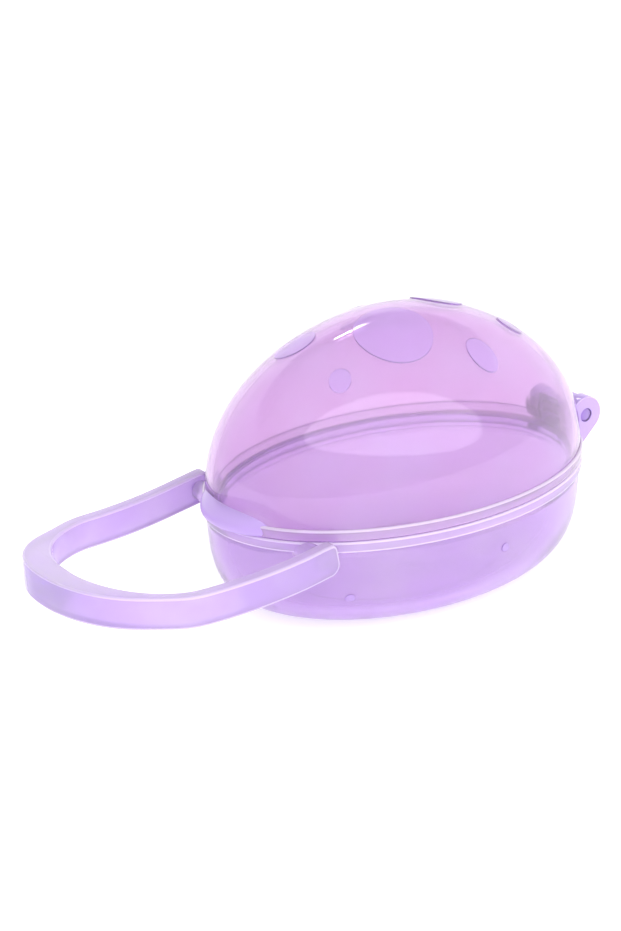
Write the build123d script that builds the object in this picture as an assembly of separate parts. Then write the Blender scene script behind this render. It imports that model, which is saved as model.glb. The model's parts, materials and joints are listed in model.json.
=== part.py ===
from build123d import *
from math import atan2, cos, pi, radians, sin, sqrt, tan
import os

# Pocket case for a baby's pacifier, in millimetres.
# The case stands on its foot: +Z is up, +X runs from the thumb tab to the lid hinge,
# and the origin is the middle of the flat foot.

# ---------------------------------------------------------------- driving dimensions
# Outline of the case, measured round the foot of the dome
case_length = 86.0
case_width = 59.4

# Base bowl
base_depth = 19.4          # from the foot to the underside of the base flange
base_wall = 1.6
foot_share = 0.57          # the flat foot's size as a share of the outline
foot_height = 0.4          # the foot stands this far below the bowl
side_fullness = 0.77       # how far down the bowl's side stays upright
foot_fullness = 0.88       # how far in the bowl's bottom stays level

# Rim: a flange on the base and one on the lid, with a thin gap between them
base_flange_height = 2.35
lid_flange_height = 2.35
parting_gap = 0.15
flange_reach = 0.55        # how far both flanges stand proud of the dome
flange_round = 0.45
lip_height = 2.1           # the base's locating lip inside the lid
lip_wall = 1.2
lip_clearance = 0.35
lip_end = 20.0             # the lip stops short of the hinge, at this x

# Dome lid
dome_height = 33.9         # above the lid flange
lid_wall = 1.5
dome_side_fullness = 0.66  # how far up the dome's side stays upright
dome_top_fullness = 0.38   # how far out the dome's crown stays level
disc_relief = 0.35         # the round motifs stand this proud of the dome

# Thumb tab at the front of the lid
tab_radius = 15.0
tab_reach = 1.8            # beyond the lid flange
tab_height = 4.4
tab_round = 3.4
tab_edge_round = 0.6

# Hinge at the back
hinge_offset = 2.6         # from the dome's foot out to the hinge line
hinge_rise = 1.35          # from the top of the lid flange up to the hinge line
hinge_width = 14.0         # over both ears
ear_radius = 4.1
ear_thickness = 3.0
ear_lid_clearance = 0.3    # between the ears and the lid that turns over them
leg_root_inset = 0.6       # the ear's leg meets the base this far in front of the hinge line
leg_angle = 40.0           # the leg leaves the ear's round head this far below level
knuckle_radius = 3.5
knuckle_side_clearance = 0.3
pin_radius = 1.5
pin_clearance = 0.06       # radial, in the lid's knuckle
pin_inset = 0.3            # the pin ends this far inside each ear's face

# Carry handle: a flat band with two arms that meet in a round loop
handle_length = 50.0       # from the pivot to the end of the loop
handle_height = 6.6
handle_sag = 2.4           # how far the band dips between pivot and loop
loop_rise = 0.2            # how much higher the loop's end lies than the arms
arm_case_gap = 0.8         # from the base flange out to the arms, at the arms' ends
arm_thickness = 2.8
arm_straight = 5.0         # the arms run straight this far before they draw in
arm_bend = 25.0
loop_width = 46.6          # over the band where its corners begin
loop_thickness = 6.4       # at the far end of the loop
loop_flat = 25.7           # length of the nearly straight end of the loop
loop_setback = 20.0        # how far the loop's corners lie from its end
loop_corner = 16.0
crown_share = 0.95         # how much of the loop's end its two inner roundings take up
handle_edge_round = 0.9

# Pivots that carry the handle
pivot_setback = 8.4        # from the case's front end to the pivots
boss_radius = 2.2
boss_drop = 0.05           # the bosses' tops lie this far below the parting line
boss_clearance = 0.3       # between the boss and the arm
peg_radius = 1.4
peg_clearance = 0.06       # radial, in the arm's blind hole
peg_hole_depth = 1.8
peg_end_clearance = 0.2

# Round motifs on top of the dome: x, y and radius of each
discs = [
    (-6.0, -7.5, 8.0),
    (13.5, 4.0, 5.5),
    (-20.5, 6.0, 4.2),
    (9.0, -17.0, 3.2),
    (0.5, 15.5, 3.6),
    (24.5, -6.5, 2.6),
    (-21.5, -11.0, 2.2),
]

# ------------------------------------------------------------------- worked-out sizes
half_length = case_length / 2
half_width = case_width / 2
flange_bottom = base_depth
parting_z = flange_bottom + base_flange_height
floor_z = foot_height + base_wall
lid_bottom = parting_z + parting_gap
lid_flange_top = lid_bottom + lid_flange_height
flange_half_length = half_length + flange_reach
flange_half_width = half_width + flange_reach
lid_inner_length = half_length - lid_wall
lid_inner_width = half_width - lid_wall
lip_outer_length = lid_inner_length - lip_clearance
lip_outer_width = lid_inner_width - lip_clearance
lip_inner_length = lip_outer_length - lip_wall
lip_inner_width = lip_outer_width - lip_wall
hinge_x = half_length + hinge_offset
hinge_z = lid_flange_top + hinge_rise
knuckle_half = hinge_width / 2 - ear_thickness - knuckle_side_clearance
pivot_x = pivot_setback - half_length
pivot_z = parting_z - boss_drop - boss_radius
handle_half_height = handle_height / 2
arm_end_x = pivot_x + handle_half_height
arm_inner_y = flange_half_width * sqrt(1 - (arm_end_x / flange_half_length) ** 2) + arm_case_gap
arm_outer_y = arm_inner_y + arm_thickness
boss_face_y = arm_inner_y - boss_clearance
loop_x = pivot_x - handle_length


def oval_body(profile, stretch):
    """A round body turned from its profile, then stretched along X into an oval."""
    round_body = revolve(make_face(profile), Axis.Z)
    return scale(round_body, by=(stretch, 1, 1))


def oval_disc(half_x, half_y, bottom, height):
    """An upright oval disc."""
    return Pos(0, 0, bottom) * extrude(Ellipse(half_x, half_y), height)


def dome_body(half_x, half_y, bottom, height):
    """The dome's shape as a solid, for its outside, its inside and its motifs."""
    crown = (0, 0, bottom + height)
    edge = (half_y, 0, bottom)
    curve = Bezier(
        edge,
        (half_y, 0, bottom + height * dome_side_fullness),
        (half_y * dome_top_fullness, 0, bottom + height),
        crown,
    )
    profile = curve + Line(crown, (0, 0, bottom)) + Line((0, 0, bottom), edge)
    return oval_body(profile, half_x / half_y)


def bowl_body(half_x, half_y, bottom, top):
    """The bowl's shape as a solid, for its outside and its inside."""
    foot = half_y * foot_share
    depth = top - bottom
    edge = (half_y, 0, top)
    heel = (foot, 0, bottom)
    curve = Bezier(
        edge,
        (half_y, 0, top - depth * side_fullness),
        (foot + (half_y - foot) * foot_fullness, 0, bottom),
        heel,
    )
    profile = (
        curve
        + Line(heel, (0, 0, bottom))
        + Line((0, 0, bottom), (0, 0, top))
        + Line((0, 0, top), edge)
    )
    return oval_body(profile, half_x / half_y)


def rim_flange(bottom, height):
    """An oval flange with softly rounded outer edges."""
    flange = oval_disc(flange_half_length, flange_half_width, bottom, height)
    return fillet(flange.edges(), flange_round)


def across(shape, low_y, high_y):
    """A shape drawn in the X-Z plane, given thickness from low_y to high_y."""
    return Pos(0, high_y, 0) * extrude(Plane.XZ * shape, high_y - low_y)


def cross_pin(radius, x, z, low_y, high_y):
    """A cylinder along Y."""
    return across(Pos(x, z) * Circle(radius), low_y, high_y)


# ---------------------------------------------------------------------------- base bowl
def ear_span(side):
    """Where one ear lies along Y, lower value first."""
    return sorted((side * hinge_width / 2, side * (hinge_width / 2 - ear_thickness)))


def hinge_ear(low_y, high_y):
    """One ear of the hinge: a round head on a leg that runs down into the base flange."""
    near_y = min(abs(low_y), abs(high_y))
    far_y = max(abs(low_y), abs(high_y))
    leg_front = flange_half_length * sqrt(1 - (near_y / flange_half_width) ** 2) + ear_lid_clearance
    leg_back = hinge_x - leg_root_inset
    root_x = half_length * sqrt(1 - (far_y / half_width) ** 2) - base_wall / 2
    head = Pos(hinge_x, hinge_z) * Circle(ear_radius)
    leave_x = hinge_x + ear_radius * cos(radians(leg_angle))
    leave_z = hinge_z - ear_radius * sin(radians(leg_angle))
    leg = make_face(
        Polyline(
            (root_x, flange_bottom),
            (leg_back, flange_bottom),
            (leave_x, leave_z),
            (hinge_x, hinge_z),
            (leg_front, hinge_z),
            (leg_front, parting_z),
            (root_x, parting_z),
            close=True,
        )
    )
    return across(head + leg, low_y, high_y)


def make_base():
    body = bowl_body(half_length, half_width, foot_height, parting_z)
    foot = oval_disc(half_length * foot_share, half_width * foot_share, 0, floor_z)
    rim = rim_flange(flange_bottom, base_flange_height)
    outer = body + foot + rim
    for side in (-1, 1):
        low_y, high_y = ear_span(side)
        outer += hinge_ear(low_y, high_y)
        low_y, high_y = sorted((0, side * boss_face_y))
        outer += cross_pin(boss_radius, pivot_x, pivot_z, low_y, high_y)
    inside = bowl_body(
        half_length - base_wall, half_width - base_wall, floor_z, parting_z
    )
    ledge = oval_disc(
        flange_half_length - flange_reach, flange_half_width - flange_reach,
        flange_bottom, base_flange_height,
    )
    mouth = oval_disc(
        lip_inner_length, lip_inner_width, flange_bottom, base_flange_height + lip_height
    )
    lip = oval_disc(lip_outer_length, lip_outer_width, parting_z, lip_height)
    lip &= Pos(lip_end - case_length, 0, parting_z) * Box(
        2 * case_length, case_width, lip_height,
        align=(Align.CENTER, Align.CENTER, Align.MIN),
    )
    base = outer - inside + (ledge + lip - mouth)
    for side in (-1, 1):
        peg_tip_y = arm_inner_y + peg_hole_depth - peg_end_clearance
        low_y, high_y = sorted((side * (boss_face_y - peg_radius), side * peg_tip_y))
        base += cross_pin(peg_radius, pivot_x, pivot_z, low_y, high_y)
    base -= cross_pin(pin_radius, hinge_x, hinge_z, -hinge_width / 2, hinge_width / 2)
    return base


# ----------------------------------------------------------------------------- dome lid
def make_lid():
    dome = dome_body(half_length, half_width, lid_flange_top, dome_height)
    rim = rim_flange(lid_bottom, lid_flange_height)
    tab_x = tab_radius - flange_half_length - tab_reach
    tab = Pos(tab_x, 0, lid_bottom) * Cylinder(
        tab_radius, tab_height, align=(Align.CENTER, Align.CENTER, Align.MIN)
    )
    tab = fillet(tab.edges().group_by(Axis.Z)[-1], tab_round)
    tab = fillet(tab.edges().group_by(Axis.Z)[0], tab_edge_round)
    knuckle = Pos(hinge_x, hinge_z) * Circle(knuckle_radius)
    web = make_face(
        Polyline(
            (lid_inner_length, lid_bottom),
            (half_length, lid_bottom),
            (hinge_x, hinge_z - knuckle_radius),
            (hinge_x, hinge_z + knuckle_radius),
            (lid_inner_length, hinge_z + knuckle_radius),
            close=True,
        )
    )
    hinge = across(knuckle + web, -knuckle_half, knuckle_half)
    raised = dome_body(
        half_length + disc_relief, half_width + disc_relief,
        lid_flange_top, dome_height + disc_relief,
    )
    motifs = Part() + [
        Pos(x, y, lid_flange_top) * Cylinder(
            radius, 2 * dome_height, align=(Align.CENTER, Align.CENTER, Align.MIN)
        )
        for x, y, radius in discs
    ]
    outer = dome + rim + tab + (raised & motifs)
    for side in (-1, 1):
        low_y, high_y = ear_span(side)
        outer -= cross_pin(
            ear_radius + ear_lid_clearance, hinge_x, hinge_z,
            low_y - knuckle_side_clearance, high_y + knuckle_side_clearance,
        )
    outer += hinge
    inside = dome_body(
        lid_inner_length, lid_inner_width, lid_flange_top, dome_height - lid_wall
    )
    mouth = oval_disc(lid_inner_length, lid_inner_width, lid_bottom, lid_flange_height)
    lid = outer - inside - mouth
    bore = cross_pin(
        pin_radius + pin_clearance, hinge_x, hinge_z, -hinge_width, hinge_width
    )
    return lid - bore


# --------------------------------------------------------------------------- hinge pin
def make_pin():
    half = hinge_width / 2 - pin_inset
    return cross_pin(pin_radius, hinge_x, hinge_z, -half, half)


# -------------------------------------------------------------------------- carry handle
def handle_plan(side_inset, end_inset):
    """The handle's outline from above, drawn in by the given insets."""
    past_end_x = arm_end_x + handle_height
    draw_in_x = pivot_x - arm_straight
    far_x = loop_x + end_inset
    end_y = arm_outer_y - side_inset
    side_y = loop_width / 2 - side_inset
    corner_turn = atan2(loop_width / 2 - loop_flat / 2, loop_setback)
    crown_turn = pi / 2 - corner_turn
    corner_x = loop_x + loop_setback + side_inset * tan(corner_turn / 2)
    flat_y = loop_flat / 2 + (end_inset * sin(corner_turn) - side_inset) / cos(corner_turn)
    crown = crown_share * flat_y / tan(crown_turn / 2)
    corner = loop_corner - side_inset
    outline = FilletPolyline(
        (past_end_x, end_y),
        (draw_in_x, end_y),
        (corner_x, side_y),
        (far_x, flat_y),
        (far_x, -flat_y),
        (corner_x, -side_y),
        (draw_in_x, -end_y),
        (past_end_x, -end_y),
        radius=[arm_bend, corner, crown, crown, corner, arm_bend],
    )
    return make_face(outline + Line((past_end_x, -end_y), (past_end_x, end_y)))


def handle_side():
    """The handle from the side: a slightly sagging band with a round end at the pivot."""
    arm = Vector(pivot_x, pivot_z)
    dip = Vector(pivot_x - handle_length / 2, pivot_z + loop_rise / 2 - handle_sag)
    loop = Vector(loop_x, pivot_z + loop_rise)
    middle = ThreePointArc(arm, dip, loop)
    centre = middle.arc_center
    low = 1 + handle_half_height / middle.radius
    high = 1 - handle_half_height / middle.radius

    def shifted(point, share):
        return centre + (point - centre) * share

    end_point = arm - (middle % 0) * handle_half_height
    over_end = (loop - dip).normalized() * handle_height
    bottom = ThreePointArc(shifted(arm, low), shifted(dip, low), shifted(loop, low))
    top = ThreePointArc(shifted(arm, high), shifted(dip, high), shifted(loop, high))
    end_cap = ThreePointArc(shifted(arm, low), end_point, shifted(arm, high))
    past_bottom = shifted(loop, low) + over_end
    past_top = shifted(loop, high) + over_end
    tail = Polyline(shifted(loop, low), past_bottom, past_top, shifted(loop, high))
    return make_face(bottom + top + end_cap + tail)


def make_handle():
    plan = handle_plan(0, 0) - handle_plan(arm_thickness, loop_thickness)
    band = extrude(plan, 4 * handle_height)
    handle = band & across(handle_side(), -2 * arm_outer_y, 2 * arm_outer_y)
    handle = fillet(handle.edges(), handle_edge_round)
    for side in (-1, 1):
        low_y, high_y = sorted((side * boss_face_y, side * (arm_inner_y + peg_hole_depth)))
        radius = peg_radius + peg_clearance
        handle -= cross_pin(radius, pivot_x, pivot_z, low_y, high_y)
    return handle


# --------------------------------------------------------------------------------- write
os.makedirs("parts", exist_ok=True)
pieces = {
    "base_bowl": make_base(),
    "dome_lid": make_lid(),
    "hinge_pin": make_pin(),
    "carry_handle": make_handle(),
}
for name, piece in pieces.items():
    print(name, round(piece.volume, 1), piece.is_valid, len(piece.solids()))
    export_step(piece, f"parts/{name}.step")
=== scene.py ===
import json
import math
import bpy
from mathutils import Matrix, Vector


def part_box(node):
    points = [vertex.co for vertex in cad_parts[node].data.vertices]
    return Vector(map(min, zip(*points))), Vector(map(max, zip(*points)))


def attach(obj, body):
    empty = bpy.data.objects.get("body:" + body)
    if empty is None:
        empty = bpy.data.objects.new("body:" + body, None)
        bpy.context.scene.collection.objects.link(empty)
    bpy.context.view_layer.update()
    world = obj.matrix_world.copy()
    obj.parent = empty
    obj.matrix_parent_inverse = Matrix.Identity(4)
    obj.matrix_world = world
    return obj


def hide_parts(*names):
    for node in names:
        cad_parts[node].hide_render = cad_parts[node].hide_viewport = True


bl_info = {
    "name": "Pacifier case",
    "version": (1, 0, 0),
    "blender": (4, 5, 0),
    "location": "View3D > Sidebar > Pacifier case",
    "description": "Moulds a clear lilac pocket case around its packed solids and lights it",
    "category": "Add Mesh",
}

import bpy
from bpy.props import FloatProperty, PointerProperty, StringProperty
from mathutils import Quaternion, Vector

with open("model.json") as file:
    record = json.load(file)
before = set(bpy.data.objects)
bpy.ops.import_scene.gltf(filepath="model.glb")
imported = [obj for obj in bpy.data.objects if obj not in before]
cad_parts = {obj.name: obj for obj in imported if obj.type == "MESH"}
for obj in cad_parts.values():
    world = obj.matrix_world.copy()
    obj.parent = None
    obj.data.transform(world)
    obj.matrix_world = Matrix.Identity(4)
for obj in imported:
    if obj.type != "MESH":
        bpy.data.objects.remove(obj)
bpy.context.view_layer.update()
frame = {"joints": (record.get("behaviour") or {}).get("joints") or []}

# ----------------------------------------------------------------- measures of the frame
MM = 0.001
BASE_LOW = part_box("base_bowl")[0]
LID_LOW, LID_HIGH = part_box("dome_lid")
PIN_LOW, PIN_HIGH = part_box("hinge_pin")
PIN_RADIUS = (PIN_HIGH.z - PIN_LOW.z) / 2
HANDLE_LOW, HANDLE_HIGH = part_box("carry_handle")
JOINTS = {joint["name"]: joint for joint in frame["joints"]}
HINGE = Vector(JOINTS["lid_hinge"]["pos_m"])
PIVOT = Vector(JOINTS["handle_pivot"]["pos_m"])


# -------------------------------------------------------------------- sizes and colours
def length(name, millimetres, description):
    """A length that a user can change, kept in metres."""
    return FloatProperty(
        name=name, description=description, default=millimetres * MM, unit="LENGTH", precision=5
    )


def colour(name, hex_value, description):
    """A colour that a user can change, as an sRGB hex value."""
    return StringProperty(name=name, description=description, default=hex_value)


class CaseSizes(bpy.types.PropertyGroup):
    """Sizes of the two shells and their rim."""

    flange_reach: length("Flange reach", 0.55, "How far both flanges stand proud of the dome")
    flange_height: length("Flange height", 2.35, "Height of each flange")
    flange_round: length("Flange round", 0.45, "Rounding of the flanges' outer edges")
    parting_gap: length("Parting gap", 0.15, "Gap between base and lid")
    foot_height: length("Foot height", 0.4, "How far the flat foot stands below the bowl")
    base_wall: length("Base wall", 1.6, "Thickness of the bowl")
    lid_wall: length("Lid wall", 1.5, "Thickness of the dome")
    ledge_round: length("Ledge round", 0.4, "Slope from the bowl's wall in to its mouth")
    lip_height: length("Lip height", 0.9, "The base's locating lip inside the lid")
    lip_wall: length("Lip wall", 1.2, "Thickness of the locating lip")
    lip_clearance: length("Lip clearance", 0.35, "Between the lip and the lid")
    lip_round: length("Lip round", 0.3, "Slope on both of the lip's upper edges")
    lip_sink: length("Lip sink", 0.5, "How deep the lip is rooted in the rim")
    lip_end: length("Lip end", 33.0, "The lip stops short of the hinge, at this X")
    lip_ramp: length("Lip ramp", 16.0, "Over this length the lip's ends slope down")
    disc_room: length("Disc room", 0.35, "Height that the lid's solid leaves for its motifs")
    disc_relief: length("Disc relief", 0.22, "How far the round motifs stand proud")
    disc_round: length("Disc round", 1.0, "Rounding of the motifs, which meets the dome on a slope")
    dot_round: length("Dot round", 0.35, "Rounding of the two dots on the bowl")
    tab_radius: length("Tab radius", 15.0, "Radius of the thumb tab")
    tab_height: length("Tab height", 4.4, "Height of the thumb tab")
    tab_round: length("Tab round", 3.4, "Rounding of the tab's upper edge")
    tab_edge_round: length("Tab edge round", 0.6, "Rounding of the tab's lower edge")


class HingeSizes(bpy.types.PropertyGroup):
    """Sizes of the hinge and of the pivots that carry the handle."""

    ear_radius: length("Ear radius", 4.1, "Radius of the ears' round heads")
    ear_thickness: length("Ear thickness", 3.0, "Thickness of each ear")
    hinge_width: length("Hinge width", 14.0, "Over both ears")
    ear_clearance: length("Ear clearance", 0.3, "Between ears and lid, and bosses and arms")
    ear_round: length("Ear round", 0.45, "Rounding of the ears' edges")
    leg_root_inset: length("Leg root inset", 0.6, "From the pin forward to the leg's back")
    leg_angle: FloatProperty(
        name="Leg angle", description="Below level, where the leg leaves the ear's head",
        default=math.radians(40), subtype="ANGLE",
    )
    knuckle_radius: length("Knuckle radius", 3.5, "Radius of the lid's knuckle")
    knuckle_root: length("Knuckle root", 2.0, "How deep its web is rooted in the lid")
    knuckle_round: length("Knuckle round", 0.35, "Rounding of the knuckle's edges")
    pin_round: length("Pin round", 0.3, "Rounding of the pin's ends")
    bore_clearance: length("Bore clearance", 0.03, "Radial, between the pin and its bores")
    boss_radius: length("Boss radius", 2.2, "Radius of the handle's pivot bosses")
    boss_round: length("Boss round", 0.25, "Rounding of the bosses' ends")
    peg_radius: length("Peg radius", 1.4, "Radius of the pegs on the bosses")
    peg_reach: length("Peg reach", 1.6, "How far the pegs reach into the arms")
    peg_clearance: length("Peg clearance", 0.06, "Radial, between a peg and its arm")


class HandleSizes(bpy.types.PropertyGroup):
    """Sizes of the carry handle."""

    height: length("Height", 6.6, "Height of the band")
    arm_thickness: length("Arm thickness", 2.8, "Thickness of the arms")
    arm_straight: length("Arm straight", 5.0, "The arms run straight this far")
    arm_bend: length("Arm bend", 25.0, "Radius where the arms draw in")
    loop_width: length("Loop width", 46.6, "Over the band where its corners begin")
    loop_thickness: length("Loop thickness", 6.4, "Thickness at the far end of the loop")
    loop_flat: length("Loop flat", 25.7, "Length of the nearly straight end of the loop")
    loop_setback: length("Loop setback", 20.0, "How far the corners lie from the loop's end")
    loop_corner: length("Loop corner", 16.0, "Radius of the loop's corners")
    crown_share: FloatProperty(
        name="Crown share", description="How much of the loop's end its two roundings take up",
        default=0.95, min=0.0, max=1.0, subtype="FACTOR",
    )
    sag: length("Sag", 2.4, "How far the band dips between pivot and loop")
    loop_rise: length("Loop rise", 0.2, "How much higher the loop's end lies than the arms")
    edge_round: length("Edge round", 0.5, "Rounding of the band's long edges")
    end_reach: length("End reach", 2.8, "How far the arms run past their pivots")
    end_corner: length("End corner", 1.2, "Rounding of the arms' upper corners")
    end_heel: length("End heel", 2.6, "Rounding of the arms' lower corners")
    hole_depth: length("Hole depth", 1.8, "Depth of the blind holes for the pegs")


class FinishColours(bpy.types.PropertyGroup):
    """Colours of the plastic and the floor, and how fast the plastic's depth tints."""

    lid_tint: colour("Lid tint", "F8DFF6", "Surface of the lid")
    base_tint: colour("Base tint", "F1DAFF", "Surface of the base")
    handle_tint: colour("Handle tint", "E3CAFA", "Surface of the handle")
    pin_tint: colour("Pin tint", "AE80EE", "Surface of the hinge pin")
    streak_tint: colour("Streak tint", "F8EEFC", "Paler flow streaks")
    deep_tint: colour("Deep tint", "B98CF6", "Frosted motifs and thick lumps")
    # Painted light: the paler colour put on the flanges, bosses, lumps, round edges and the handle's
    # level faces, as painted highlights and painted light
    painted_light_tint: colour("Pale tint", "F5E6FF", "Rim and light-catching edges")
    depth_tint: colour("Depth tint", "CF88F8", "What thick plastic lets through")
    density: FloatProperty(name="Density", description="Absorption per metre", default=130.0)
    floor_white: colour("Floor", "E6E6E8", "Surface of the floor")


GROUPS = {
    "case_sizes": CaseSizes,
    "hinge_sizes": HingeSizes,
    "handle_sizes": HandleSizes,
    "finish_colours": FinishColours,
}


# --------------------------------------------------------------------- modelling helpers
SEGMENTS = 192          # facets round the case
SLACK = 0.01 * MM       # tolerance on a height
EDGE_SLOT = 1           # material index that a bevel gives to its new faces


def only(piece):
    """Selects that object alone and makes it active."""
    bpy.ops.object.select_all(action="DESELECT")
    piece.select_set(True)
    bpy.context.view_layer.objects.active = piece


def named(name):
    """The object that was just added, given its name."""
    piece = bpy.context.object
    piece.name = name
    piece.data.name = name
    return piece


def settle(piece):
    """Puts the object at the origin, unturned and unscaled, with its place in its mesh."""
    only(piece)
    bpy.ops.object.transform_apply(location=True, rotation=True, scale=True)
    return piece


def face_outwards(piece):
    """Turns the faces of a closed body outwards."""
    only(piece)
    bpy.ops.object.mode_set(mode="EDIT")
    bpy.ops.mesh.select_mode(type="VERT")
    bpy.ops.mesh.select_all(action="SELECT")
    bpy.ops.mesh.normals_make_consistent(inside=False)
    bpy.ops.object.mode_set(mode="OBJECT")
    return piece


def ring_body(name, rings):
    """A closed body of oval rings, each (half length, half width, height), capped at both ends."""
    bpy.ops.object.select_all(action="DESELECT")
    half_x, half_y, height = rings[0]
    bpy.ops.mesh.primitive_circle_add(vertices=SEGMENTS, radius=1, fill_type="NGON")
    piece = named(name)
    bpy.ops.object.mode_set(mode="EDIT")
    bpy.ops.mesh.select_mode(type="FACE")
    bpy.ops.mesh.select_all(action="SELECT")
    bpy.ops.transform.resize(value=(half_x, half_y, 1), center_override=(0, 0, 0))
    bpy.ops.transform.translate(value=(0, 0, height))
    for before, after in zip(rings, rings[1:]):
        rise = (0, 0, after[2] - before[2])
        bpy.ops.mesh.extrude_region_move(TRANSFORM_OT_translate={"value": rise})
        spread = (after[0] / before[0], after[1] / before[1], 1)
        bpy.ops.transform.resize(value=spread, center_override=(0, 0, after[2]))
    bpy.ops.object.mode_set(mode="OBJECT")
    return face_outwards(piece)


def plate(name, outline, low, high, upright=False):
    """A plate with that outline, between two heights in Z or, when upright, two places in Y."""
    bpy.ops.object.select_all(action="DESELECT")
    bpy.ops.mesh.primitive_circle_add(vertices=len(outline), radius=1, fill_type="NGON")
    piece = named(name)
    start = -high if upright else low
    for corner, (across, along) in zip(piece.data.vertices, outline):
        corner.co = (across, along, start)
    bpy.ops.object.mode_set(mode="EDIT")
    bpy.ops.mesh.select_mode(type="FACE")
    bpy.ops.mesh.select_all(action="SELECT")
    bpy.ops.mesh.extrude_region_move(TRANSFORM_OT_translate={"value": (0, 0, high - low)})
    bpy.ops.object.mode_set(mode="OBJECT")
    if upright:
        piece.rotation_euler.x = math.radians(90)
    settle(piece)
    return face_outwards(piece)


def cross_rod(name, radius, centre, end_y, other_y):
    """A round rod along Y between two places, about an axis through the centre."""
    bpy.ops.object.select_all(action="DESELECT")
    bpy.ops.mesh.primitive_cylinder_add(
        vertices=64, radius=radius, depth=abs(other_y - end_y),
        location=(centre.x, (end_y + other_y) / 2, centre.z), rotation=(math.radians(90), 0, 0),
    )
    return settle(named(name))


def upright_rod(name, radius, across, along, low, high):
    """A round rod along Z between two heights."""
    bpy.ops.object.select_all(action="DESELECT")
    bpy.ops.mesh.primitive_cylinder_add(
        vertices=96, radius=radius, depth=high - low, location=(across, along, (low + high) / 2)
    )
    return settle(named(name))


def combine(body, tool, operation):
    """Joins, cuts or crosses the body with a tool, which is used up."""
    only(body)
    bpy.ops.object.modifier_add(type="BOOLEAN")
    modifier = body.modifiers[-1]
    modifier.operation = operation
    modifier.solver = "EXACT"
    modifier.object = tool
    bpy.ops.object.modifier_apply(modifier=modifier.name)
    bpy.data.objects.remove(tool, do_unlink=True)
    return body


def joined(pieces):
    """Several objects as one."""
    bpy.ops.object.select_all(action="DESELECT")
    for piece in pieces:
        piece.select_set(True)
    bpy.context.view_layer.objects.active = pieces[0]
    bpy.ops.object.join()
    return pieces[0]


def mark(piece, label, share, test=None):
    """Gives the faces that pass the test a share of "deep", "pale" or "clear" for the plastic."""
    only(piece)
    if label not in piece.data.attributes:
        bpy.ops.geometry.attribute_add(name=label, domain="FACE", data_type="FLOAT")
    for face, item in zip(piece.data.polygons, piece.data.attributes[label].data):
        if test is None or test(face):
            item.value = share
    return piece


def soften(piece, width, steps, angle=30, pale=0.0, clamp=True):
    """Rounds the edges that turn by more than that angle in degrees, and can make the rounds paler as
    painted highlights.
    """
    only(piece)
    while len(piece.material_slots) <= EDGE_SLOT:
        bpy.ops.object.material_slot_add()
    bpy.ops.object.modifier_add(type="BEVEL")
    modifier = piece.modifiers[-1]
    modifier.width = width
    modifier.segments = steps
    modifier.limit_method = "ANGLE"
    modifier.angle_limit = math.radians(angle)
    modifier.material = EDGE_SLOT
    modifier.use_clamp_overlap = clamp
    bpy.ops.object.modifier_apply(modifier=modifier.name)
    # Painted highlights: the new round faces get the pale share
    if pale:
        mark(piece, "pale", pale, lambda face: face.material_index == EDGE_SLOT)
    piece.data.materials.clear()
    return piece


def round_edges(piece, width, steps, test):
    """Rounds the edges whose two ends both pass the test."""
    only(piece)
    bpy.ops.object.mode_set(mode="EDIT")
    bpy.ops.mesh.select_mode(type="EDGE")
    bpy.ops.mesh.select_all(action="DESELECT")
    bpy.ops.object.mode_set(mode="OBJECT")
    points = piece.data.vertices
    for edge in piece.data.edges:
        edge.select = all(test(points[index].co) for index in edge.vertices)
    bpy.ops.object.mode_set(mode="EDIT")
    bpy.ops.mesh.bevel(offset=width, segments=steps, profile=0.5, affect="EDGES")
    bpy.ops.object.mode_set(mode="OBJECT")


def finish_piece(piece, body, node_name, material):
    """Smooths, colours and mounts a piece that stands for a solid of the frame."""
    settle(piece)
    bpy.ops.object.shade_smooth_by_angle(angle=math.radians(30))
    piece.data.materials.clear()
    piece.data.materials.append(material)
    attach(piece, body)
    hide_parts(node_name)


# ------------------------------------------------------------------------------ outlines
DOME_SIDE = 0.66        # how far up the dome's side stays upright
DOME_TOP = 0.38         # how far out the dome's crown stays level
FOOT_SHARE = 0.57       # the foot's size as a share of the outline
BOWL_SIDE = 0.77        # how far down the bowl's side stays upright
BOWL_FOOT = 0.88        # how far in the bowl's bottom stays level
CURVE_STEPS = 44
CROWN_STOP = 0.985      # share of the dome's curve at which its last ring lies


def curve_point(share, points):
    """The point of a four-point curve at that share of its way."""
    rest = 1 - share
    weights = (rest ** 3, 3 * rest ** 2 * share, 3 * rest * share ** 2, share ** 3)
    return [sum(w * point[axis] for w, point in zip(weights, points)) for axis in (0, 1)]


def dome_rings(half_x, half_y, bottom, height):
    """Rings of the dome from its foot up to its crown."""
    points = ((1, 0), (1, DOME_SIDE), (DOME_TOP, 1), (0, 1))
    rings = []
    for step in range(CURVE_STEPS + 1):
        out, up = curve_point(CROWN_STOP * step / CURVE_STEPS, points)
        rings.append((half_x * out, half_y * out, bottom + height * up))
    return rings


def bowl_rings(half_x, half_y, bottom, top, until):
    """Rings of the bowl from its bottom up to a height below its top."""
    heel = FOOT_SHARE + (1 - FOOT_SHARE) * BOWL_FOOT
    points = ((FOOT_SHARE, 0), (heel, 0), (1, 1 - BOWL_SIDE), (1, 1))
    rings = []
    for step in range(CURVE_STEPS + 1):
        out, up = curve_point(step / CURVE_STEPS, points)
        height = bottom + (top - bottom) * up
        if height < until:
            rings.append((half_x * out, half_y * out, height))
    return rings


def flange_rings(half_x, half_y, bottom, height, rounding, steps=5):
    """Rings round a flange's outer side, from its lower edge to its upper edge."""
    rings = []
    for level, start in ((bottom + rounding, -90), (bottom + height - rounding, 0)):
        for step in range(steps + 1):
            turn = math.radians(start + 90 * step / steps)
            out = rounding * (math.cos(turn) - 1)
            rings.append((half_x + out, half_y + out, level + rounding * math.sin(turn)))
    return rings


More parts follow.
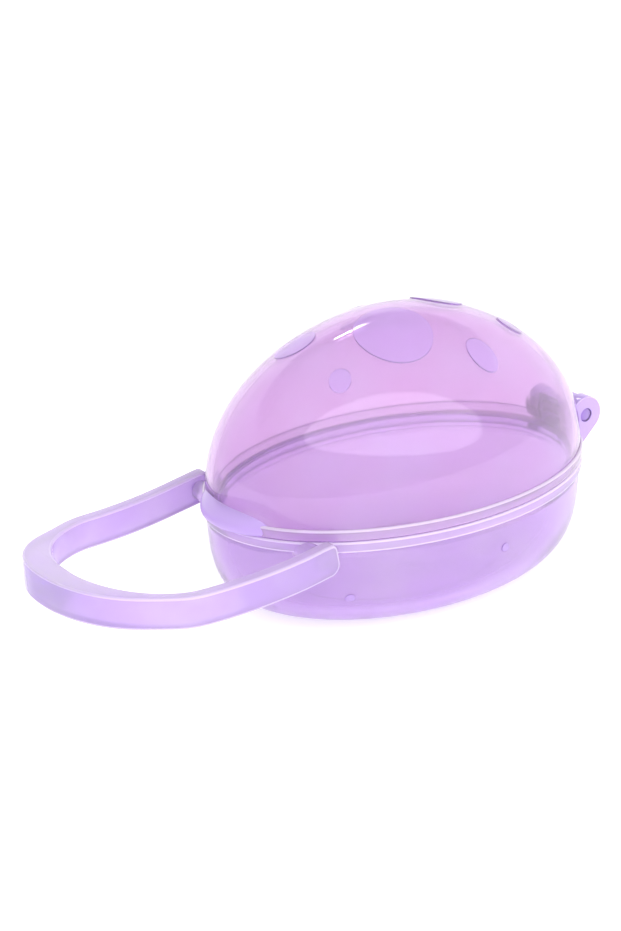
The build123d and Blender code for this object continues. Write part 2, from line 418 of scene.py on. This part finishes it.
def arc(centre_x, centre_y, radius, first, last, steps):
    """Points along an arc between two angles in degrees."""
    points = []
    for step in range(steps + 1):
        turn = math.radians(first + (last - first) * step / steps)
        points.append((centre_x + radius * math.cos(turn), centre_y + radius * math.sin(turn)))
    return points


def rounded(outline, radii, steps=14):
    """A closed outline with its corners rounded, each by its own radius."""
    points = []
    for index, (corner, radius) in enumerate(zip(outline, radii)):
        corner = Vector(corner)
        before = (Vector(outline[index - 1]) - corner).normalized()
        after = (Vector(outline[(index + 1) % len(outline)]) - corner).normalized()
        if radius == 0:
            points.append(tuple(corner))
            continue
        half = before.angle(after) / 2
        centre = corner + (before + after).normalized() * radius / math.sin(half)
        first = corner + before * radius / math.tan(half) - centre
        last = corner + after * radius / math.tan(half) - centre
        turn = math.atan2(first.x * last.y - first.y * last.x, first.dot(last))
        for step in range(steps + 1):
            angle = turn * step / steps
            cosine, sine = math.cos(angle), math.sin(angle)
            spoke = (first.x * cosine - first.y * sine, first.x * sine + first.y * cosine)
            points.append((centre.x + spoke[0], centre.y + spoke[1]))
    return points


def case_half(sizes):
    """Half length and half width of the case round the foot of the dome."""
    return -BASE_LOW.x - sizes.flange_reach, LID_HIGH.y - sizes.flange_reach


def flange_half(sizes):
    """Half length and half width over the flanges."""
    half_x, half_y = case_half(sizes)
    return half_x + sizes.flange_reach, half_y + sizes.flange_reach


def ear_spans(hinge):
    """Where each of the two ears lies along Y."""
    outer = hinge.hinge_width / 2
    inner = outer - hinge.ear_thickness
    return ((-outer, -inner), (inner, outer))


# ------------------------------------------------------------------------------- plastic
# Shares of the deep tint, of which frosted and thick plastic shows more
DISC_DEPTH = 0.42       # frosted motifs
LUMP_DEPTH = 0.85       # thumb tab, knuckle and ears

# Shares of the pale tint, which is painted light: the flanges, bosses and lumps are painted lighter
# than their shade, round edges get painted highlights, and the handle's level top and bottom faces
# get painted light
RIM_PAINTED_LIGHT = 0.25         # flanges and bosses
LUMP_PAINTED_LIGHT = 0.3         # thumb tab, knuckle and ears
HANDLE_TOP_PAINTED_LIGHT = 0.4   # the band's narrow sides
EAR_EDGE_PAINTED_HIGHLIGHT = 0.5     # the ears' round edges
HANDLE_EDGE_PAINTED_HIGHLIGHT = 0.6  # the band's long round edges
EDGE_PAINTED_HIGHLIGHT = 0.85        # the flanges' round edges, which show as bright lines

# How much of its clarity plastic loses to scattering where it is all deep or all pale; on pale faces
# this scattering is part of the painted light
DEEP_CLOUDING = 0.7
PAINTED_LIGHT_CLOUDING = 0.8

FROST_ROUGHNESS = 0.08  # added to the roughness of deep plastic, as off a blasted mould
POLYPROPYLENE_IOR = 1.49
STREAK_SIZE = 14 * MM   # spacing of the flow streaks
STREAK_RANGE = (0.4, 0.8)   # of the noise, over which a streak fades in
STREAK_SHARE = 0.6      # how far the streaks turn to their paler tint
HAZE_SIZE = 2.5 * MM    # grain of the gloss
WAVE_SIZE = 9 * MM      # spacing of the slow waves that a thin moulded wall has
WAVE_HEIGHT = 0.12 * MM
WAVE_STRENGTH = 0.25


def linear(hex_colour):
    """An sRGB hex colour as linear red, green, blue and alpha."""
    parts = [int(hex_colour[at:at + 2], 16) / 255 for at in (0, 2, 4)]
    return [p / 12.92 if p <= 0.04045 else ((p + 0.055) / 1.055) ** 2.4 for p in parts] + [1.0]


def add_node(tree, kind, inputs=None, **settings):
    """Adds a node, with its settings and its inputs, each a value or another node's output."""
    new = tree.nodes.new(kind)
    for key, value in settings.items():
        setattr(new, key, value)
    for key, value in (inputs or {}).items():
        if isinstance(value, bpy.types.NodeSocket):
            tree.links.new(value, new.inputs[key])
        else:
            new.inputs[key].default_value = value
    return new


def moulded_polypropylene(name, tint, clarity, smooth, rough):
    """Injection-moulded polypropylene in one tint, whose roughness varies between two values.

    The clear share of the light goes through and is tinted by depth, and the rest is scattered.
    Faces marked deep are frosted or thick, and pale ones get painted light, a paler colour standing
    in for highlights and lit faces; both scatter more.
    Faces marked "clear" scatter none.
    """
    colours = bpy.context.scene.finish_colours
    material = bpy.data.materials.new(name)
    material.use_nodes = True
    tree = material.node_tree
    tree.nodes.clear()
    place = add_node(tree, "ShaderNodeTexCoord").outputs["Object"]
    streaks, haze, waves = (
        add_node(
            tree, "ShaderNodeTexNoise", {"Vector": place, "Scale": 1 / size, "Detail": detail}
        ).outputs["Fac"]
        for size, detail in ((STREAK_SIZE, 3.0), (HAZE_SIZE, 4.0), (WAVE_SIZE, 1.0))
    )
    deep, pale, clear = (
        add_node(tree, "ShaderNodeAttribute", attribute_name=label).outputs["Fac"]
        for label in ("deep", "pale", "clear")
    )

    # Colour: the tint, then its paler streaks, its deep faces and its pale faces, where the paler
    # colour is painted light
    streaked = add_node(
        tree, "ShaderNodeMapRange",
        {
            "Value": streaks, "From Min": STREAK_RANGE[0], "From Max": STREAK_RANGE[1],
            "To Max": STREAK_SHARE,
        },
    ).outputs["Result"]
    surface_colour = linear(tint)
    turns = (streaked, colours.streak_tint), (deep, colours.deep_tint), (pale, colours.painted_light_tint)
    for share, other in turns:
        surface_colour = add_node(
            tree, "ShaderNodeMix", {"Factor": share, "A": surface_colour, "B": linear(other)},
            data_type="RGBA",
        ).outputs["Result"]

    # Clearness: less where the face is deep or pale, and all of it where it is clear; the extra
    # scattering on pale faces lightens them as painted light
    clearness = clarity
    changes = (deep, -clarity * DEEP_CLOUDING), (pale, -clarity * PAINTED_LIGHT_CLOUDING), (clear, 1 - clarity)
    for share, change in changes:
        clearness = add_node(
            tree, "ShaderNodeMath", {0: share, 1: change, 2: clearness},
            operation="MULTIPLY_ADD", use_clamp=True,
        ).outputs["Value"]

    gloss = add_node(
        tree, "ShaderNodeMapRange", {"Value": haze, "To Min": smooth, "To Max": rough}
    )
    roughness = add_node(
        tree, "ShaderNodeMath", {0: deep, 1: FROST_ROUGHNESS, 2: gloss.outputs["Result"]},
        operation="MULTIPLY_ADD",
    )
    relief = add_node(
        tree, "ShaderNodeBump",
        {"Height": waves, "Strength": WAVE_STRENGTH, "Distance": WAVE_HEIGHT},
    )
    surface = add_node(
        tree, "ShaderNodeBsdfPrincipled",
        {
            "Base Color": surface_colour, "Roughness": roughness.outputs["Value"],
            "Normal": relief.outputs["Normal"], "IOR": POLYPROPYLENE_IOR,
            "Transmission Weight": clearness,
        },
    )
    depth = add_node(
        tree, "ShaderNodeVolumeAbsorption",
        {"Color": linear(colours.depth_tint), "Density": colours.density},
    )
    add_node(
        tree, "ShaderNodeOutputMaterial",
        {"Surface": surface.outputs["BSDF"], "Volume": depth.outputs["Volume"]},
    )
    return material


# ---------------------------------------------------------------------------- the shells
def raised_discs(rods, skin, rounding):
    """Frosted discs: rods cut off at a skin that lies over the body, with their rims rounded."""
    discs = combine(joined(rods), skin, "INTERSECT")
    return mark(soften(discs, rounding, steps=5, angle=50), "deep", DISC_DEPTH)


def paint_rim_light(piece, low, high, rounding, bright):
    """Paints light on a flange between two heights: the flange is made paler, and its rounded edges
    next to the bright heights get painted highlight lines.
    """
    mark(piece, "pale", RIM_PAINTED_LIGHT, lambda face: low - SLACK < face.center.z < high + SLACK)
    mark(
        piece, "pale", EDGE_PAINTED_HIGHLIGHT,
        lambda face: low < face.center.z < high
        and any(SLACK < abs(face.center.z - level) < rounding for level in bright),
    )


class CASE_OT_base_bowl(bpy.types.Operator):
    """Bowl with its rim flange, locating lip, hinge ears and the bosses that carry the handle"""

    bl_idname = "case.base_bowl"
    bl_label = "Base bowl"

    # Dots on the bowl's front, each as X, height and radius in millimetres
    DOTS = ((5.3, 13.7, 0.9), (-27.7, 9.2, 0.8))

    def execute(self, context):
        scene = context.scene
        sizes, hinge = scene.case_sizes, scene.hinge_sizes
        rim_top = LID_LOW.z - sizes.parting_gap
        rim_bottom = rim_top - sizes.flange_height
        arm_y = HANDLE_HIGH.y - scene.handle_sizes.arm_thickness
        boss_y = arm_y - hinge.ear_clearance

        bowl = self.outside(sizes, rim_bottom, rim_top)
        for low_y, high_y in ear_spans(hinge):
            combine(bowl, self.ear(sizes, hinge, low_y, high_y, rim_bottom, rim_top), "UNION")
        for way in (-1, 1):
            boss = cross_rod("boss", hinge.boss_radius, PIVOT, 0, way * boss_y)
            soften(boss, hinge.boss_round, steps=3)
            # Painted light: the bosses are painted paler, like the rim
            combine(bowl, mark(boss, "pale", RIM_PAINTED_LIGHT), "UNION")
        combine(bowl, self.hollow(sizes, rim_bottom, rim_top), "DIFFERENCE")
        combine(bowl, self.lip(sizes, rim_top), "UNION")
        for way in (-1, 1):
            root_y, tip_y = way * (boss_y - hinge.peg_radius), way * (arm_y + hinge.peg_reach)
            combine(bowl, cross_rod("peg", hinge.peg_radius, PIVOT, root_y, tip_y), "UNION")
        bore = PIN_RADIUS + hinge.bore_clearance
        past = hinge.hinge_width
        combine(bowl, cross_rod("bore", bore, HINGE, -past, past), "DIFFERENCE")

        # A clear wall that still scatters some light: the inside shows through a lilac veil
        plastic = moulded_polypropylene(
            "base_clear_polypropylene", scene.finish_colours.base_tint,
            clarity=0.74, smooth=0.04, rough=0.10,
        )
        finish_piece(bowl, "base", "base_bowl", plastic)
        return {"FINISHED"}

    def outside(self, sizes, rim_bottom, rim_top):
        """The solid bowl with its foot, rim flange and dots."""
        half_x, half_y = case_half(sizes)
        flange_x, flange_y = flange_half(sizes)
        wall = bowl_rings(half_x, half_y, sizes.foot_height, rim_top, rim_bottom)
        rings = [(half_x * FOOT_SHARE, half_y * FOOT_SHARE, 0)]
        rings += wall
        rings.append((half_x, half_y, rim_bottom))
        rings += flange_rings(
            flange_x, flange_y, rim_bottom, sizes.flange_height, sizes.flange_round
        )
        bowl = ring_body("base_shell", rings)
        # Painted light on the rim flange, with painted highlight lines along both its round edges
        paint_rim_light(bowl, rim_bottom, rim_top, sizes.flange_round, (rim_bottom, rim_top))
        raised = sizes.disc_relief
        skin = ring_body("skin", [(x + raised, y + raised, height) for x, y, height in wall])
        dots = [
            cross_rod("dot", radius * MM, Vector((across * MM, 0, up * MM)), -2 * half_y, 0)
            for across, up, radius in self.DOTS
        ]
        return combine(bowl, raised_discs(dots, skin, sizes.dot_round), "UNION")

    def ear(self, sizes, hinge, low_y, high_y, rim_bottom, rim_top):
        """One ear: a round head on a leg that runs down into the rim flange."""
        half_x, half_y = case_half(sizes)
        flange_x, flange_y = flange_half(sizes)
        near_y, far_y = sorted((abs(low_y), abs(high_y)))
        leg_front = flange_x * math.sqrt(1 - (near_y / flange_y) ** 2) + hinge.ear_clearance
        leg_back = HINGE.x - hinge.leg_root_inset
        root = half_x * math.sqrt(1 - (far_y / half_y) ** 2) - sizes.base_wall / 2
        start = -math.degrees(hinge.leg_angle)
        stop = 180 + math.degrees(math.acos((HINGE.x - leg_front) / hinge.ear_radius))
        outline = arc(HINGE.x, HINGE.z, hinge.ear_radius, start, stop, steps=48)
        outline += [
            (leg_front, rim_top), (root, rim_top), (root, rim_bottom), (leg_back, rim_bottom)
        ]
        # Painted light: the ear is painted paler than its shade, with painted highlights on its round
        # edges
        ear = mark(plate("ear", outline, low_y, high_y, upright=True), "pale", LUMP_PAINTED_LIGHT)
        soften(ear, hinge.ear_round, steps=4, angle=50, pale=EAR_EDGE_PAINTED_HIGHLIGHT)
        return mark(ear, "deep", LUMP_DEPTH)

    def hollow(self, sizes, rim_bottom, rim_top):
        """The inside of the bowl, which narrows to its mouth under the lip."""
        half_x, half_y = case_half(sizes)
        inset = sizes.lid_wall + sizes.lip_clearance + sizes.lip_wall
        mouth_x, mouth_y = half_x - inset, half_y - inset
        ledge = sizes.ledge_round
        rings = bowl_rings(
            half_x - sizes.base_wall, half_y - sizes.base_wall,
            sizes.foot_height + sizes.base_wall, rim_top, rim_bottom - 2 * ledge,
        )
        rings.append((mouth_x + ledge, mouth_y + ledge, rim_bottom - ledge))
        rings.append((mouth_x, mouth_y, rim_bottom))
        rings.append((mouth_x, mouth_y, rim_top + MM))
        return ring_body("hollow", rings)

    def lip(self, sizes, rim_top):
        """The locating lip, whose ends slope down to nothing short of the hinge."""
        half_x, half_y = case_half(sizes)
        outer = sizes.lid_wall + sizes.lip_clearance
        inner = outer + sizes.lip_wall
        outer_x, outer_y = half_x - outer, half_y - outer
        inner_x, inner_y = half_x - inner, half_y - inner
        top, slant = rim_top + sizes.lip_height, sizes.lip_round
        lip = ring_body("lip", [
            (outer_x, outer_y, rim_top - sizes.lip_sink),
            (outer_x, outer_y, top - slant),
            (outer_x - slant, outer_y - slant, top),
        ])
        mouth = ring_body("mouth", [
            (inner_x, inner_y, rim_top - MM),
            (inner_x, inner_y, top - slant),
            (inner_x + slant, inner_y + slant, top + SLACK),
            (inner_x + slant, inner_y + slant, top + MM),
        ])
        combine(lip, mouth, "DIFFERENCE")
        slope = math.atan2(sizes.lip_height, sizes.lip_ramp)
        cutter_height = 20 * MM
        bpy.ops.mesh.primitive_cube_add(
            size=1, location=(sizes.lip_end, 0, rim_top), rotation=(0, slope, 0),
            scale=(4 * half_x, 3 * half_y, cutter_height),
        )
        cutter = named("cutter")
        cutter.location += Vector((math.sin(slope), 0, math.cos(slope))) * cutter_height / 2
        combine(lip, settle(cutter), "DIFFERENCE")
        return mark(lip, "clear", 1.0)


class CASE_OT_dome_lid(bpy.types.Operator):
    """Domed lid with its rim flange, thumb tab, hinge knuckle and low round motifs"""

    bl_idname = "case.dome_lid"
    bl_label = "Dome lid"

    # Motifs on the dome, each as X, Y and radius in millimetres
    DISCS = (
        (-6.0, -7.5, 8.0), (13.5, 4.0, 5.5), (-20.5, 6.0, 4.2), (9.0, -17.0, 3.2),
        (0.5, 15.5, 3.6), (24.5, -6.5, 2.6), (-21.5, -11.0, 2.2),
    )

    def execute(self, context):
        scene = context.scene
        sizes, hinge = scene.case_sizes, scene.hinge_sizes
        flange_top = LID_LOW.z + sizes.flange_height
        height = LID_HIGH.z - sizes.disc_room - flange_top

        dome = self.outside(sizes, flange_top, height)
        combine(dome, self.motifs(sizes, flange_top, height), "UNION")
        combine(dome, self.tab(sizes), "UNION")
        gap = hinge.ear_clearance
        for low_y, high_y in ear_spans(hinge):
            pocket = cross_rod("pocket", hinge.ear_radius + gap, HINGE, low_y - gap, high_y + gap)
            combine(dome, pocket, "DIFFERENCE")
        combine(dome, self.knuckle(sizes, hinge), "UNION")
        combine(dome, self.hollow(sizes, flange_top, height), "DIFFERENCE")
        bore = PIN_RADIUS + 2 * hinge.bore_clearance
        past = hinge.hinge_width
        combine(dome, cross_rod("bore", bore, HINGE, -past, past), "DIFFERENCE")

        # The clearest and glossiest wall: sharp reflections, a pink lilac and the inside in view
        plastic = moulded_polypropylene(
            "lid_clear_polypropylene", scene.finish_colours.lid_tint,
            clarity=0.84, smooth=0.03, rough=0.07,
        )
        finish_piece(dome, "lid", "dome_lid", plastic)
        return {"FINISHED"}

    def outside(self, sizes, flange_top, height):
        """The solid dome on its rim flange."""
        half_x, half_y = case_half(sizes)
        flange_x, flange_y = flange_half(sizes)
        rings = flange_rings(
            flange_x, flange_y, LID_LOW.z, sizes.flange_height, sizes.flange_round
        )
        rings += dome_rings(half_x, half_y, flange_top, height)
        dome = ring_body("lid_shell", rings)
        # Painted light on the lid's flange, with a painted highlight line along its upper round edge
        paint_rim_light(dome, LID_LOW.z, flange_top, sizes.flange_round, (flange_top,))
        return dome

    def hollow(self, sizes, flange_top, height):
        """The inside of the dome."""
        half_x, half_y = case_half(sizes)
        inner_x, inner_y = half_x - sizes.lid_wall, half_y - sizes.lid_wall
        rings = [(inner_x, inner_y, LID_LOW.z - MM)]
        rings += dome_rings(inner_x, inner_y, flange_top, height - sizes.lid_wall)
        return ring_body("hollow", rings)

    def motifs(self, sizes, flange_top, height):
        """Low round motifs, frosted, on the top of the dome."""
        half_x, half_y = case_half(sizes)
        raised = sizes.disc_relief
        skin = dome_rings(half_x + raised, half_y + raised, flange_top, height + raised)
        rods = [
            upright_rod("motif", radius * MM, across * MM, along * MM, flange_top, LID_HIGH.z + MM)
            for across, along, radius in self.DISCS
        ]
        return raised_discs(rods, ring_body("skin", skin), sizes.disc_round)

    def tab(self, sizes):
        """The thumb tab: a round pad with a softly domed top."""
        centre_x = LID_LOW.x + sizes.tab_radius
        middle = LID_LOW.z + sizes.tab_height / 2
        bpy.ops.object.select_all(action="DESELECT")
        bpy.ops.mesh.primitive_cylinder_add(
            vertices=128, radius=sizes.tab_radius, depth=sizes.tab_height,
            location=(centre_x, 0, middle),
        )
        tab = settle(named("tab"))
        round_edges(tab, sizes.tab_round, 12, lambda point: point.z > middle)
        round_edges(tab, sizes.tab_edge_round, 5, lambda point: point.z < LID_LOW.z + SLACK)
        # Painted light: the tab is painted paler than its shade
        return mark(mark(tab, "deep", LUMP_DEPTH), "pale", LUMP_PAINTED_LIGHT)

    def knuckle(self, sizes, hinge):
        """The lid's knuckle on a web that runs out from the dome."""
        half_x = case_half(sizes)[0]
        half = hinge.hinge_width / 2 - hinge.ear_thickness - hinge.ear_clearance
        radius = hinge.knuckle_radius
        root = half_x - hinge.knuckle_root
        outline = arc(HINGE.x, HINGE.z, radius, -90, 90, steps=32)
        outline += [(root, HINGE.z + radius), (root, LID_LOW.z), (half_x, LID_LOW.z)]
        # Painted light: the knuckle is painted paler than the shade it sits in
        web = mark(plate("knuckle", outline, -half, half, upright=True), "pale", LUMP_PAINTED_LIGHT)
        return mark(soften(web, hinge.knuckle_round, steps=3, angle=50), "deep", LUMP_DEPTH)


# -------------------------------------------------------------------- the pin and handle
class CASE_OT_hinge_pin(bpy.types.Operator):
    """Pin through the ears and the knuckle"""

    bl_idname = "case.hinge_pin"
    bl_label = "Hinge pin"

    def execute(self, context):
        pin = cross_rod("hinge_rod", PIN_RADIUS, HINGE, PIN_LOW.y, PIN_HIGH.y)
        soften(pin, context.scene.hinge_sizes.pin_round, steps=4)

        # Almost solid violet with a satin gloss: a dark core in the clear hinge
        plastic = moulded_polypropylene(
            "pin_violet_polypropylene", context.scene.finish_colours.pin_tint,
            clarity=0.3, smooth=0.12, rough=0.22,
        )
        finish_piece(pin, "base", "hinge_pin", plastic)
        return {"FINISHED"}


class CASE_OT_carry_handle(bpy.types.Operator):
    """Flat carry handle: two arms that meet in a round loop"""

    bl_idname = "case.carry_handle"
    bl_label = "Carry handle"

    def execute(self, context):
        scene = context.scene
        sizes, hinge = scene.handle_sizes, scene.hinge_sizes
        low, high = HANDLE_LOW.z - MM, HANDLE_HIGH.z + MM
        band = plate("handle_band", self.plan(sizes, 0, 0), low, high)
        gap = self.plan(sizes, sizes.arm_thickness, sizes.loop_thickness)
        combine(band, plate("gap", gap, low - MM, high + MM), "DIFFERENCE")
        wide = 2 * HANDLE_HIGH.y
        combine(band, plate("side", self.side(sizes), -wide, wide, upright=True), "INTERSECT")
        level = 0.7         # Z of the normal from which a face counts as level
        # Painted light: the band's level top and bottom faces are painted paler as if lit from above,
        # and its long round edges get painted highlights
        mark(band, "pale", HANDLE_TOP_PAINTED_LIGHT, lambda face: abs(face.normal.z) > level)
        soften(band, sizes.edge_round, steps=5, pale=HANDLE_EDGE_PAINTED_HIGHLIGHT, clamp=False)
        arm_y = HANDLE_HIGH.y - sizes.arm_thickness
        radius = hinge.peg_radius + hinge.peg_clearance
        for way in (-1, 1):
            mouth_y, end_y = way * (arm_y - MM), way * (arm_y + sizes.hole_depth)
            combine(band, cross_rod("hole", radius, PIVOT, mouth_y, end_y), "DIFFERENCE")

        # Thick, milky plastic with a satin gloss: an even lilac, with painted highlights along its
        # edges
        plastic = moulded_polypropylene(
            "handle_milky_polypropylene", scene.finish_colours.handle_tint,
            clarity=0.55, smooth=0.12, rough=0.22,
        )
        finish_piece(band, "handle", "carry_handle", plastic)
        return {"FINISHED"}

    def plan(self, sizes, side_inset, end_inset):
        """The handle's outline from above, drawn in by the given insets."""
        past_end = HANDLE_HIGH.x + sizes.height
        draw_in = PIVOT.x - sizes.arm_straight
        far = HANDLE_LOW.x + end_inset
        end_y = HANDLE_HIGH.y - side_inset
        side_y = sizes.loop_width / 2 - side_inset
        turn = math.atan2(sizes.loop_width / 2 - sizes.loop_flat / 2, sizes.loop_setback)
        corner_x = HANDLE_LOW.x + sizes.loop_setback + side_inset * math.tan(turn / 2)
        flat_y = sizes.loop_flat / 2 + (end_inset * math.sin(turn) - side_inset) / math.cos(turn)
        crown = sizes.crown_share * flat_y / math.tan((math.pi / 2 - turn) / 2)
        corners = [(past_end, end_y), (draw_in, end_y), (corner_x, side_y), (far, flat_y)]
        radii = [0, sizes.arm_bend, sizes.loop_corner - side_inset, crown]
        outline = corners + [(x, -y) for x, y in reversed(corners)]
        return rounded(outline, radii + radii[::-1])

    def side(self, sizes):
        """The handle from the side: a slightly sagging band whose arms end in round corners."""
        half = sizes.height / 2
        arm = Vector((PIVOT.x, PIVOT.z))
        loop = Vector((HANDLE_LOW.x, arm.y + sizes.loop_rise))
        dip = (arm + loop) / 2 - Vector((0, sizes.sag))
        bend = ((arm - loop).length / 2) ** 2 / (2 * sizes.sag) + sizes.sag / 2
        centre = dip + Vector((0, bend))
        past_loop = 8           # degrees that the band runs on, for the plan to cut off
        start = math.degrees(math.atan2(arm.y - centre.y, arm.x - centre.x))
        stop = math.degrees(math.atan2(loop.y - centre.y, loop.x - centre.x)) - past_loop
        outline = arc(centre.x, centre.y, bend - half, start, stop, steps=40)
        outline += arc(centre.x, centre.y, bend + half, stop, start, steps=40)
        turn = math.radians(start)
        corners = ((1, sizes.end_heel, start, 6), (-1, sizes.end_corner, start + 90, 3))
        for way, radius, first, steps in corners:
            along, across = sizes.end_reach - radius, way * (half - radius)
            corner_x = arm.x + across * math.cos(turn) - along * math.sin(turn)
            corner_z = arm.y + across * math.sin(turn) + along * math.cos(turn)
            outline += arc(corner_x, corner_z, radius, first, first + 90, steps)
        return outline


# ----------------------------------------------------------------------------- the stage
class CASE_OT_stage(bpy.types.Operator):
    """Pale floor, soft studio light and the camera"""

    bl_idname = "case.stage"
    bl_label = "Stage"

    AZIMUTH = -34.13        # degrees, from straight along the hinge line
    ELEVATION = 22.51       # degrees
    ROLL = -1.43            # degrees
    DISTANCE = 472.3 * MM
    TARGET = Vector((-21.48 * MM, 0, 28.66 * MM))
    SENSOR = 36             # millimetres
    LENS = 90.54            # millimetres
    CLIP = (0.01, 20)       # metres

    FLOOR_WIDTH = 12        # metres, wide enough to fill low views
    FLOOR_GAP = 0.02 * MM   # keeps the floor off the foot's own face
    FLOOR_GLOW = 0.6
    WALL_LIGHT = 0.84       # strength of the room's white walls
    BACKDROP_LIGHT = 1.36   # of the lit backdrop behind the case
    CEILING_LIGHT = 0.56    # of the dimmer ceiling
    BACKDROP_FACING = 0.7   # cosine to the backdrop's middle inside which it is fully lit
    WALL_TOP = (0.52, 0.58)     # sines of the elevations over which wall turns to ceiling

    def execute(self, context):
        self.floor()
        self.surroundings(context.scene)
        # Sizes and places are in metres, the power is in watts and the roll in degrees
        self.softbox("key", (-0.05, -0.79, 0.82), width=2.3, height=0.86, power=8.3, roll=-28)
        self.softbox("strip", (0.26, 0.7, 0.82), width=0.2, height=0.04, power=0.7, roll=0)
        self.camera(context.scene)
        context.scene.view_settings.view_transform = "Standard"
        return {"FINISHED"}

    def floor(self):
        """A wide pale floor of white film, lit a little from below."""
        bpy.ops.object.select_all(action="DESELECT")
        bpy.ops.mesh.primitive_plane_add(size=self.FLOOR_WIDTH, location=(0, 0, -self.FLOOR_GAP))
        floor = settle(named("floor"))
        # Matt film over a light table: shadows stay soft and pale
        material = bpy.data.materials.new("white_diffusion_film")
        material.use_nodes = True
        tree = material.node_tree
        tree.nodes.clear()
        white = linear(bpy.context.scene.finish_colours.floor_white)
        film = add_node(tree, "ShaderNodeBsdfDiffuse", {"Color": white})
        glow = add_node(tree, "ShaderNodeEmission", {"Strength": self.FLOOR_GLOW})
        both = add_node(
            tree, "ShaderNodeAddShader", {0: film.outputs["BSDF"], 1: glow.outputs["Emission"]}
        )
        add_node(tree, "ShaderNodeOutputMaterial", {"Surface": both.outputs["Shader"]})
        floor.data.materials.append(material)

    def surroundings(self, scene):
        """A room with white walls, a lit backdrop behind the case and a dimmer ceiling."""
        world = bpy.data.worlds.new("studio_room")
        world.use_nodes = True
        tree = world.node_tree
        tree.nodes.clear()
        way = add_node(tree, "ShaderNodeTexCoord").outputs["Generated"]
        turn = math.radians(self.AZIMUTH)
        behind = Vector((-math.sin(turn), math.cos(turn), 0))
        facing = add_node(
            tree, "ShaderNodeVectorMath", {0: way, 1: behind}, operation="DOT_PRODUCT"
        )
        walls = add_node(
            tree, "ShaderNodeMapRange",
            {
                "Value": facing.outputs["Value"],
                "From Min": 0.0, "From Max": self.BACKDROP_FACING,
                "To Min": self.WALL_LIGHT, "To Max": self.BACKDROP_LIGHT,
            },
            interpolation_type="SMOOTHSTEP",
        )
        height = add_node(tree, "ShaderNodeSeparateXYZ", {"Vector": way}).outputs["Z"]
        light = add_node(
            tree, "ShaderNodeMapRange",
            {
                "Value": height,
                "From Min": self.WALL_TOP[0], "From Max": self.WALL_TOP[1],
                "To Min": walls.outputs["Result"], "To Max": self.CEILING_LIGHT,
            },
            interpolation_type="SMOOTHSTEP",
        )
        room = add_node(
            tree, "ShaderNodeBackground",
            {"Color": linear("FFFFFF"), "Strength": light.outputs["Result"]},
        )
        add_node(tree, "ShaderNodeOutputWorld", {"Surface": room.outputs["Background"]})
        scene.world = world

    def softbox(self, name, place, width, height, power, roll):
        """An oval area lamp that faces the case, turned about its own axis by the roll."""
        bpy.ops.object.light_add(type="AREA", location=place)
        lamp = bpy.context.object
        lamp.name = name
        lamp.data.shape = "ELLIPSE"
        lamp.data.size = width
        lamp.data.size_y = height
        lamp.data.energy = power
        lamp.rotation_mode = "QUATERNION"
        faced = (Vector(place) - self.TARGET).to_track_quat("Z", "Y")
        lamp.rotation_quaternion = faced @ Quaternion((0, 0, 1), math.radians(roll))

    def camera(self, scene):
        """The camera, aimed at its target and rolled a little."""
        turn, tilt = math.radians(self.AZIMUTH), math.radians(self.ELEVATION)
        back = Vector(
            (math.sin(turn) * math.cos(tilt), -math.cos(turn) * math.cos(tilt), math.sin(tilt))
        )
        bpy.ops.object.camera_add(location=self.TARGET + back * self.DISTANCE)
        camera = bpy.context.object
        camera.rotation_mode = "QUATERNION"
        roll = Quaternion((0, 0, 1), math.radians(self.ROLL))
        camera.rotation_quaternion = back.to_track_quat("Z", "Y") @ roll
        camera.data.lens = self.LENS
        camera.data.sensor_width = self.SENSOR
        camera.data.clip_start, camera.data.clip_end = self.CLIP
        scene.camera = camera


# ---------------------------------------------------------------------------- the add-on
OPERATORS = (
    CASE_OT_base_bowl, CASE_OT_dome_lid, CASE_OT_hinge_pin, CASE_OT_carry_handle, CASE_OT_stage,
)


class CASE_PT_panel(bpy.types.Panel):
    """Lists the sizes, the colours and the pieces of the case in the sidebar."""

    bl_idname = "CASE_PT_panel"
    bl_label = "Pacifier case"
    bl_space_type = "VIEW_3D"
    bl_region_type = "UI"
    bl_category = "Pacifier case"

    def draw(self, context):
        for group in GROUPS:
            settings = getattr(context.scene, group)
            for key in settings.__annotations__:
                self.layout.prop(settings, key)
        for operator in OPERATORS:
            self.layout.operator(operator.bl_idname)


def register():
    for group in GROUPS.values():
        bpy.utils.register_class(group)
    for name, group in GROUPS.items():
        setattr(bpy.types.Scene, name, PointerProperty(type=group))
    for operator in OPERATORS:
        bpy.utils.register_class(operator)
    bpy.utils.register_class(CASE_PT_panel)


def unregister():
    bpy.utils.unregister_class(CASE_PT_panel)
    for operator in reversed(OPERATORS):
        bpy.utils.unregister_class(operator)
    for name in GROUPS:
        delattr(bpy.types.Scene, name)
    for group in reversed(list(GROUPS.values())):
        bpy.utils.unregister_class(group)


def main():
    """Makes every piece and the stage."""
    register()
    bpy.ops.case.base_bowl()
    bpy.ops.case.dome_lid()
    bpy.ops.case.hinge_pin()
    bpy.ops.case.carry_handle()
    bpy.ops.case.stage()


if __name__ == "__main__":
    main()
